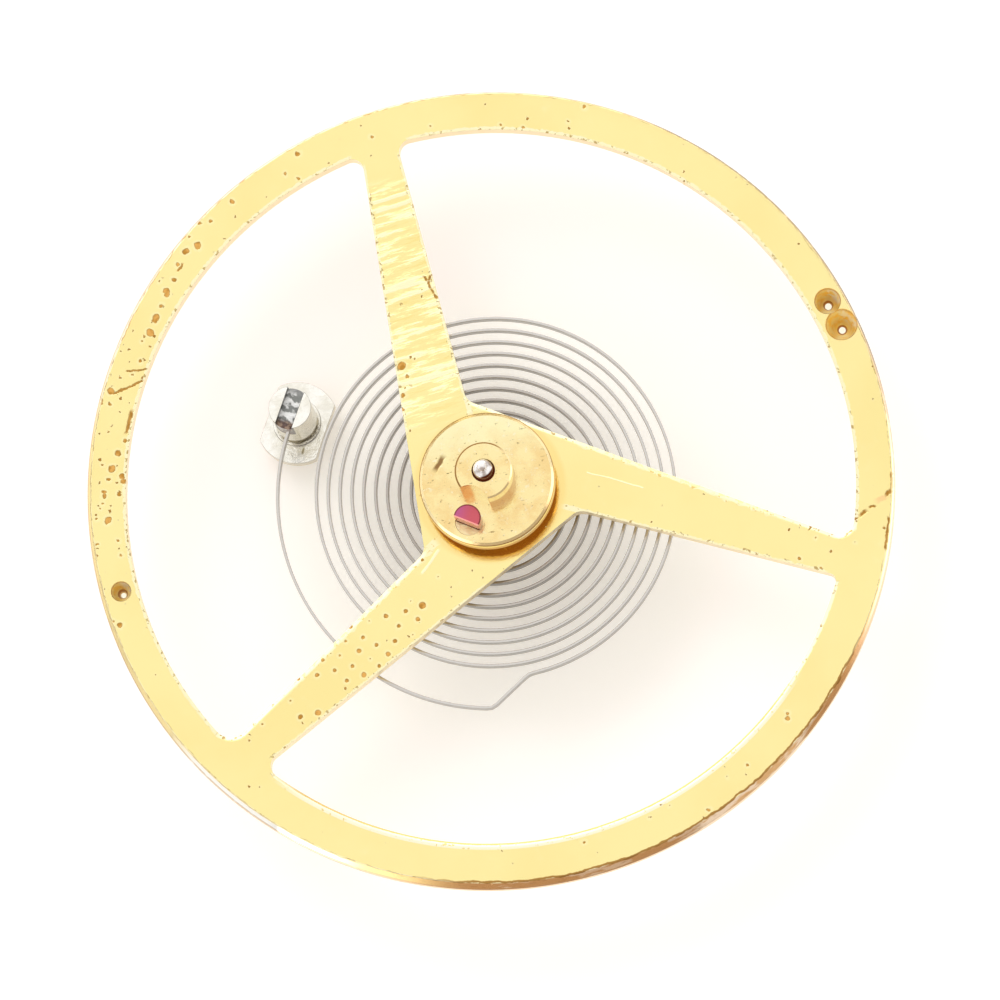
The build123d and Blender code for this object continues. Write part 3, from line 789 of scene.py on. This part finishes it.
def window_outline(rim_edge, first_corner, last_corner):
    """The opening from one arm's slanting edge to the next arm's radial edge, its corners rounded."""
    along_slant = complex(1, -ARM_TAPER) / math.hypot(1, ARM_TAPER)
    along_next = around(1, 120)
    off_slant, off_next = along_slant * 1j, along_next * -1j
    a, b = ARM_SLANT + HUB_CORNER, HUB_CORNER
    cross = off_slant.real * off_next.imag - off_slant.imag * off_next.real
    hub = complex(a * off_next.imag - b * off_slant.imag, b * off_slant.real - a * off_next.real) / cross
    on_slant = ARM_SLANT + first_corner
    first_reach, last_reach = rim_edge - first_corner, rim_edge - last_corner
    first = off_slant * on_slant + along_slant * math.sqrt(first_reach**2 - on_slant**2)
    last = off_next * last_corner + along_next * math.sqrt(last_reach**2 - last_corner**2)
    start = hub - off_slant * HUB_CORNER
    return start, [
        (first - off_slant * first_corner, None),
        (first * rim_edge / first_reach, first),
        (last * rim_edge / last_reach, 0j),
        (last - off_next * last_corner, last),
        (hub - off_next * HUB_CORNER, None),
        (start, hub),
    ]


def make_wheel(material):
    inner_wall, outer_wall = RIM_INSIDE + RIM_RELIEF, WHEEL_RADIUS - RIM_RELIEF
    lip_reach, lip_foot = WHEEL_RADIUS - RIM_CHAMFER, WHEEL_TOP - RIM_CHAMFER
    wheel = turned("wheel", complex(0, ARM_UNDERSIDE), straight(
        (inner_wall, ARM_UNDERSIDE), (inner_wall, RIM_UNDERSIDE), (outer_wall, RIM_UNDERSIDE),
        (outer_wall, ARM_UNDERSIDE), (WHEEL_RADIUS - RIM_FOOT_EDGE, ARM_UNDERSIDE),
        (WHEEL_RADIUS, ARM_UNDERSIDE + RIM_FOOT_EDGE), (WHEEL_RADIUS, lip_foot), (lip_reach, WHEEL_TOP),
        (0, WHEEL_TOP),
    ), steps=384)
    for height in (ARM_UNDERSIDE, WHEEL_TOP):
        open_piece(wheel)
        pick(wheel, "FACE", lambda face: abs(face.calc_center_median().z - height) < 0.001
             and face.calc_center_median().xy.length < RIM_INSIDE)
        bpy.ops.mesh.dissolve_faces()
    pick(wheel, "EDGE", lambda edge: lies_at(edge, 2, lip_foot))
    bpy.ops.transform.rotate(
        value=-CHAMFER_SHIFT / WHEEL_RADIUS, orient_axis="X", center_override=(0, 0, lip_foot))
    bevel(wheel, lambda edge: all(abs(v.co.xy.length - lip_reach) < 0.002 for v in edge.verts),
          LIP_ROUNDING, 2)
    bpy.ops.transform.translate(value=(0, CHAMFER_SHIFT, 0))
    windows = []
    for i, corners in enumerate(RIM_CORNERS):
        rim_edge = LEDGE_EDGE if i == 1 else RIM_INSIDE
        windows.append(slab("window", *window_outline(rim_edge, *corners), 1.0, 2.0, step=1.5))
        move(windows[-1], ARM_EDGE_ANGLE + 120 * i)
    only(windows[0])
    for window in windows:
        window.select_set(True)
    bpy.ops.object.join()
    cut(wheel, windows[0])

    def window_edge(height, facing_from=-180, facing_to=180):
        def test(edge):
            walls = [face for face in edge.link_faces if abs(face.normal.z) < 0.1]
            reach = (edge.verts[0].co + edge.verts[1].co).xy.length / 2
            if len(edge.link_faces) != 2 or len(walls) != 1 or reach > RIM_INSIDE + 0.01:
                return False
            facing = math.degrees(math.atan2(walls[0].normal.y, walls[0].normal.x))
            return lies_at(edge, 2, height, 0.001) and facing_from < facing < facing_to
        return test
    open_piece(wheel)
    bevel(wheel, window_edge(WHEEL_TOP, SHINY_FROM, SHINY_TO), SHINY_BEVEL, 1)
    pick(wheel, "EDGE", lambda edge: lies_at(edge, 2, WHEEL_TOP - SHINY_BEVEL, 0.003))
    bpy.ops.transform.translate(value=(0, 0, SHINY_BEVEL - SHINY_DROP))
    bevel(wheel, window_edge(WHEEL_TOP), WORN_EDGE, 3, clamp=True)
    bevel(wheel, window_edge(ARM_UNDERSIDE), UNDERSIDE_EDGE, 2, clamp=True)
    drill(wheel, 0j, WHEEL_SEAT, WHEEL_TOP - 0.5, WHEEL_TOP + 0.5, 144)
    above = 0.05
    for centre, radius, depth in DRILLINGS:
        mouth = radius * (1 + above / depth * (1 - DRILLING_TIP_SHARE))
        deselect()
        bpy.ops.mesh.primitive_cone_add(
            vertices=72, radius1=radius * DRILLING_TIP_SHARE, radius2=mouth, depth=depth + above,
            location=(centre.real, centre.imag, WHEEL_TOP + (above - depth) / 2))
        cut(wheel, bpy.context.object)
    return finish(tidy(wheel), "balance_wheel", "balance", material, 32)


def trumpet(start, end, side=1):
    """The centre of the arc that leaves start along the axis and ends at end, which lies to that side."""
    across, up = abs(end.real - start.real), abs(end.imag - start.imag)
    return complex(start.real + side * (across**2 + up**2) / (2 * across), start.imag)


def make_staff(material):
    cock_foot, cock_end = complex(COCK_PIVOT, COCK_PIVOT_TOP), complex(COCK_ARBOR, COCK_TRUMPET_TOP)
    dial_foot, dial_end = complex(DIAL_PIVOT, DIAL_PIVOT_FOOT), complex(DIAL_NECK, DIAL_SHOULDER_FOOT)
    cock_tip, dial_tip = COCK_PIVOT - PIVOT_ROUNDING, DIAL_PIVOT - PIVOT_ROUNDING
    runs = [
        *straight((cock_tip, 0)),
        (complex(COCK_PIVOT, PIVOT_ROUNDING), complex(cock_tip, PIVOT_ROUNDING)),
        (cock_foot, None),
        (cock_end, trumpet(cock_foot, cock_end)),
        *straight(
            (COCK_ARBOR, COLLET_SEAT_FOOT), (COLLET_SEAT, COLLET_SEAT_FOOT), (COLLET_SEAT, RIVET_FOOT),
            (RIVET, RIVET_FOOT), (RIVET, ARM_UNDERSIDE), (WHEEL_SEAT, ARM_UNDERSIDE), (WHEEL_SEAT, WHEEL_TOP),
            (HUB, WHEEL_TOP), (HUB, HUB_TOP), (ROLLER_SEAT, HUB_TOP), (ROLLER_SEAT_TOP, DIAL_NECK_FOOT),
            (DIAL_NECK_BELOW, DIAL_NECK_FOOT + ROLLER_SEAT_TOP - DIAL_NECK_BELOW),
            (DIAL_NECK, DIAL_SHOULDER_FOOT),
        ),
        (dial_foot, trumpet(dial_end, dial_foot, -1)),
        (complex(DIAL_PIVOT, STAFF_TOP - PIVOT_ROUNDING), None),
        (complex(dial_tip, STAFF_TOP), complex(dial_tip, STAFF_TOP - PIVOT_ROUNDING)),
        *straight((0, STAFF_TOP)),
    ]
    staff = turned("staff", 0j, runs)
    soften(staff, 0.008)
    return finish(staff, "balance_staff", "balance", material)


def make_roller(material):
    chamfer, edge = TABLE_CHAMFER, ROLLER_EDGE
    roller = turned("roller", complex(ROLLER_SEAT, HUB_TOP), straight(
        (TABLE_RADIUS - edge, HUB_TOP), (TABLE_RADIUS, HUB_TOP + edge), (TABLE_RADIUS, TABLE_TOP - chamfer),
        (TABLE_RADIUS - chamfer, TABLE_TOP), (SAFETY_RADIUS, TABLE_TOP), (SAFETY_RADIUS, SAFETY_TOP - edge),
        (SAFETY_RADIUS - edge, SAFETY_TOP), (BORE_TOP, SAFETY_TOP), (ROLLER_SEAT, HUB_TOP),
    ), steps=180)
    drill(roller, CRESCENT_CENTRE, CRESCENT_RADIUS, TABLE_TOP, SAFETY_TOP + 0.3)
    drill(roller, JEWEL_CENTRE, JEWEL_RADIUS, HUB_TOP - 0.2, TABLE_TOP + 0.2)
    soften(roller, 0.006, 2, 30)
    return finish(tidy(roller), "double_roller", "balance", material, 35)


def jewel_half(name, inside, top):
    """The jewel's D on the side of its flat towards the axis, or the sliver of its hole outside the flat."""
    half = math.acos(JEWEL_FLAT / JEWEL_RADIUS)
    turn = around(1, ROLLER_ANGLE)
    if inside:
        stops = [half, (half + math.pi) / 2, math.pi, (3 * math.pi - half) / 2, math.tau - half]
    else:
        stops = [-half, 0, half]
    points = [JEWEL_CENTRE + cmath.rect(JEWEL_RADIUS, angle) * turn for angle in stops]
    runs = [(point, JEWEL_CENTRE) for point in points[1:]] + [(points[0], None)]
    return slab(name, points[0], runs, JEWEL_FOOT, top, step=4)


def make_jewel(material):
    jewel = jewel_half("jewel", True, JEWEL_TOP)
    soften(jewel, 0.012, 3)
    return finish(jewel, "impulse_jewel", "balance", material)


def make_jewel_shellac(material):
    shellac = jewel_half("shellac", False, SHELLAC_TOP)
    soften(shellac, 0.01)
    return finish(shellac, "jewel_shellac", "balance", material)


def make_collet(material):
    edge = COLLET_CHAMFER
    collet = turned("collet", complex(COLLET_SEAT, COLLET_FOOT), straight(
        (COLLET_RADIUS - edge, COLLET_FOOT), (COLLET_RADIUS, COLLET_FOOT + edge),
        (COLLET_RADIUS, COLLET_TOP - edge), (COLLET_RADIUS - edge, COLLET_TOP), (COLLET_SEAT, COLLET_TOP),
        (COLLET_SEAT, COLLET_FOOT),
    ))
    deselect()
    bpy.ops.mesh.primitive_cylinder_add(
        vertices=64, radius=SPRING_HOLE, depth=2, location=(SPRING_HOLE_OFFSET, 0, SPRING_MIDDLE),
        rotation=(math.pi / 2, 0, 0))
    hole = bpy.context.object
    move(hole, SPRING_HOLE_ANGLE)
    cut(collet, hole)
    deselect()
    bpy.ops.mesh.primitive_cube_add(size=1, location=(0.5, 0, SPRING_MIDDLE), scale=(1, COLLET_SLIT, 2))
    slit = bpy.context.object
    move(slit, SPRING_HOLE_ANGLE + 180)
    cut(collet, slit)
    soften(collet, 0.008, 2, 30)
    return finish(tidy(collet), "collet", "balance", material)


def make_pin(material):
    deselect()
    bpy.ops.mesh.primitive_cone_add(
        vertices=64, radius1=PIN_SMALL, radius2=PIN_LARGE, depth=2 * (HALF_CHORD + PIN_OVERHANG),
        location=(SPRING_HOLE_OFFSET, 0, SPRING_MIDDLE), rotation=(-math.pi / 2, 0, 0))
    pin = bpy.context.object
    settle(pin)
    open_piece(pin)
    beside_spring = (SPRING_HOLE_OFFSET - SPRING_THICKNESS / 2, 0, 0)
    bpy.ops.mesh.bisect(plane_co=beside_spring, plane_no=(1, 0, 0), use_fill=True, clear_outer=True)
    tidy(pin)
    move(pin, SPRING_HOLE_ANGLE)
    soften(pin, 0.008)
    return finish(tidy(pin), "collet_pin", "balance", material)


def spring_route():
    """Points of the spring's middle line, from its end in the stud to its end in the collet."""
    at_coil = math.degrees(math.acos((STEP_LINE + STEP_INNER_BEND) / (COIL_OUTSIDE + STEP_INNER_BEND)))
    at_arc = math.degrees(math.acos((STEP_LINE - STEP_OUTER_BEND) / (ARC_RADIUS - STEP_OUTER_BEND)))
    step_angle = COIL_START + at_coil
    arc_end = step_angle - at_arc + 360
    arc_start = STUD_ANGLE - math.degrees(PAST_STUD_CENTRE / ARC_RADIUS)
    pitch = (COIL_OUTSIDE - COIL_INSIDE) / COIL_TURNS
    arcs = [
        (0j, ARC_RADIUS, arc_start, arc_end - arc_start),
        (around(ARC_RADIUS - STEP_OUTER_BEND, arc_end), STEP_OUTER_BEND, arc_end, at_arc),
        (around(COIL_OUTSIDE + STEP_INNER_BEND, COIL_START), STEP_INNER_BEND, step_angle + 180, -at_coil),
    ]
    for half_turn in range(2 * COIL_TURNS):
        angle = COIL_START + 180 * half_turn
        radius = COIL_OUTSIDE - half_turn * pitch / 2 - pitch / 4
        arcs.append((around(pitch / 4, angle), radius, angle, 180))
    arcs.append((around(COIL_INSIDE - COLLET_BEND, COIL_START), COLLET_BEND, COIL_START, COLLET_TURN))
    points = []
    for centre, radius, start, turn in arcs:
        steps = math.ceil(abs(turn) / 3)
        points += [centre + around(radius, start + turn * i / steps) for i in range(steps + 1)]
    points.append(around(SPRING_HOLE_OFFSET, SPRING_HOLE_ANGLE)
                  + around(HALF_CHORD - COLLET_END_CLEARANCE, SPRING_HOLE_ANGLE + 90))
    return [point for i, point in enumerate(points) if i == 0 or abs(point - points[i - 1]) > 1e-6]


def make_hairspring(material):
    points = spring_route()
    length = sum(abs(b - a) for a, b in zip(points, points[1:]))
    short = length / SPRING_LENGTHS
    deselect()
    bpy.ops.mesh.primitive_cube_add(
        size=1, location=(short / 2, 0, 0), scale=(short, SPRING_THICKNESS, SPRING_HEIGHT))
    spring = bpy.context.object
    settle(spring)
    open_piece(spring)
    pick(spring, "FACE", lambda face: abs(face.normal.x) > 0.9)
    bpy.ops.mesh.delete(type="ONLY_FACE")
    bevel(spring, lambda edge: abs(edge.verts[0].co.x - edge.verts[1].co.x) > short / 2, SPRING_EDGE, 2)
    change(spring, "ARRAY", count=SPRING_LENGTHS, use_relative_offset=False, use_constant_offset=True,
           constant_offset_displace=(short, 0, 0), use_merge_vertices=True, merge_threshold=0.001)
    for end in (0.0, length):
        open_piece(spring)
        pick(spring, "EDGE", lambda edge: lies_at(edge, 0, end, 0.01))
        bpy.ops.mesh.edge_face_add()
    tidy(spring)
    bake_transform(spring, "stud_side", "balance", start=(0, 0, 0), end=(length, 0, 0))
    line = bpy.data.curves.new("spring_line", "CURVE")
    line.dimensions, line.twist_mode = "3D", "Z_UP"
    path = line.splines.new("POLY")
    path.points.add(len(points) - 1)
    for place, point in zip(path.points, points):
        place.co = (point.real, point.imag, SPRING_MIDDLE, 1)
    guide = bpy.data.objects.new("spring_line", line)
    bpy.context.scene.collection.objects.link(guide)
    change(spring, "CURVE", object=guide, deform_axis="POS_X")
    bpy.data.objects.remove(guide)
    return finish(tidy(spring), "hairspring", "balance", material, 60)


def make_stud(material):
    stud = turned("stud", complex(0, HEAD_FOOT), straight(
        (HEAD_RADIUS, HEAD_FOOT), (HEAD_RADIUS, HEAD_TOP), (COLLAR_RADIUS, HEAD_TOP),
        (COLLAR_RADIUS, COLLAR_TOP), (GROOVE_RADIUS, COLLAR_TOP), (GROOVE_RADIUS, GROOVE_TOP),
        (POST_RADIUS, GROOVE_TOP), (POST_RADIUS, POST_TOP), (0, POST_TOP),
    ))
    for side in (1, -1):
        open_piece(stud)
        pick(stud, "FACE", lambda face: face.calc_center_median().z < HEAD_TOP + 0.001)
        bpy.ops.mesh.bisect(
            plane_co=(0, side * HEAD_FLATS / 2, 0), plane_no=(0, side, 0), use_fill=True, clear_outer=True)
        tidy(stud)
    deselect()
    bpy.ops.mesh.primitive_cube_add(size=1, location=(0, 0, SLOT_FOOT + 0.5), scale=(2, SLOT_WIDTH, 1))
    cut(stud, bpy.context.object)
    soften(stud, 0.024, 3, 30)
    move(stud, SLOT_ANGLE, STUD_CENTRE)
    return finish(tidy(stud), "hairspring_stud", "stud_side", material)


def make_cement(material):
    half_width = SLOT_WIDTH / 2
    reach = math.sqrt((POST_RADIUS - CEMENT_INSET)**2 - half_width**2)
    start, end = complex(-reach, -half_width), complex(reach, half_width)
    runs = [(end.conjugate(), None), (end, 0j), (start.conjugate(), None), (start, 0j)]
    cement = slab("cement", start, runs, SLOT_FOOT, CEMENT_TOP)
    move(cement, SLOT_ANGLE, STUD_CENTRE)
    return finish(cement, "stud_cement", "stud_side", material)


# The camera looks down on the dial side from the photograph's angle
PICTURE_RIGHT = Vector((0.9977, 0.0059, -0.067))
PICTURE_UP = Vector((0.0059, 0.9846, 0.1747))
AIM_RIGHT, AIM_DOWN, CAMERA_AWAY = 0.126, 0.158, 0.1029
lens = bpy.data.cameras.new("camera")
lens.lens, lens.sensor_width, lens.clip_start, lens.clip_end = 300, 36, 0.01, 10
camera = bpy.data.objects.new("camera", lens)
bpy.context.scene.collection.objects.link(camera)
bpy.context.scene.camera = camera
aim = (Vector((0, 0, WHEEL_TOP)) + AIM_RIGHT * PICTURE_RIGHT - AIM_DOWN * PICTURE_UP) * MM
back = PICTURE_RIGHT.cross(PICTURE_UP).normalized()
right = PICTURE_UP.cross(back).normalized()
turn = Matrix((right, back.cross(right), back)).transposed()
camera.matrix_world = Matrix.Translation(aim + back * CAMERA_AWAY) @ turn.to_4x4()

make_wheel(gilt_wheel())
make_staff(staff_steel())
make_roller(gilt_roller())
make_jewel(jewel_red())
make_jewel_shellac(set_shellac())
brass = turned_brass()
make_collet(brass)
make_pin(brass)
make_hairspring(spring_steel())
make_stud(stud_steel())
make_cement(ridged_cement())

# Floor, a sheet of pale paper
deselect()
bpy.ops.mesh.primitive_plane_add(size=0.6, location=(0, 0, -0.00001))
floor = bpy.context.object
floor.name = "floor"
paper = Finish("pale_floor")
# Floor tinted by region, pinker towards +y under the windows: a painted tint of light reflected from the gilt
in_windows = paper.radius.rises(2.4, 3.2) * paper.radius.rises(6.0, 4.8)
upper = paper.along(90).rises(-3.0, 2.0)
sheen = paper.mixed(upper, (0.80, 0.785, 0.79, 1), (0.78, 0.73, 0.735, 1))
paper.paint = paper.mixed(in_windows, (0.78, 0.765, 0.74, 1), sheen)
floor.data.materials.append(
    paper.done(Roughness=0.9, Emission_Color=(1, 0.95, 0.86, 1), Emission_Strength=0.35))

# Light: a white tent with a softbox at the upper left, two bright strips, and darker and brown patches
world = bpy.data.worlds.new("studio")
bpy.context.scene.world = world
world.use_nodes = True
sky = world.node_tree
direction = add(sky, "ShaderNodeTexCoord", {}, {}, "Generated")
height = add(sky, "ShaderNodeSeparateXYZ", {}, [direction], 2)


def towards(azimuth, elevation):
    """1 in a direction of the tent, falling to -1 behind it."""
    out = around(math.cos(math.radians(elevation)), azimuth)
    place = (out.real, out.imag, math.sin(math.radians(elevation)))
    return add(sky, "ShaderNodeVectorMath", {"operation": "DOT_PRODUCT"}, [direction, place], 1)


tent = towards(125, 30).rises(-0.9, 0.6) * 0.40 + 0.62
softbox = towards(112, 36).rises(0.80, 0.97) * 0.75
strips = towards(235, 4).rises(0.90, 0.97) + towards(2, 5).rises(0.92, 0.97)
dark_upper_left = towards(140, 8).rises(0.40, 0.75) * height.rises(0.26, 0.16) * height.rises(-0.02, 0.05)
brown_lower_right = towards(300, 8).rises(0.45, 0.75) * height.rises(0.42, 0.25)
light = ((tent + softbox) * (1 - dark_upper_left * 0.7) + strips) * 0.25
white, brown = (mixed(sky, light, (0, 0, 0), tint) for tint in ((4.0, 3.96, 3.9, 1), (3.5, 2.95, 2.45, 1)))
shade = mixed(sky, brown_lower_right, white, brown)
sky.links.new(shade.socket, sky.nodes["Background"].inputs["Color"])

sun = bpy.data.lights.new("window", "SUN")
sun.energy, sun.angle = 0.45, math.radians(30)
window = bpy.data.objects.new("window", sun)
window.rotation_euler = Vector((-0.35, 0.45, 0.82)).to_track_quat("Z", "Y").to_euler()
window.visible_glossy = False
bpy.context.scene.collection.objects.link(window)
bpy.context.scene.view_settings.view_transform = "Standard"
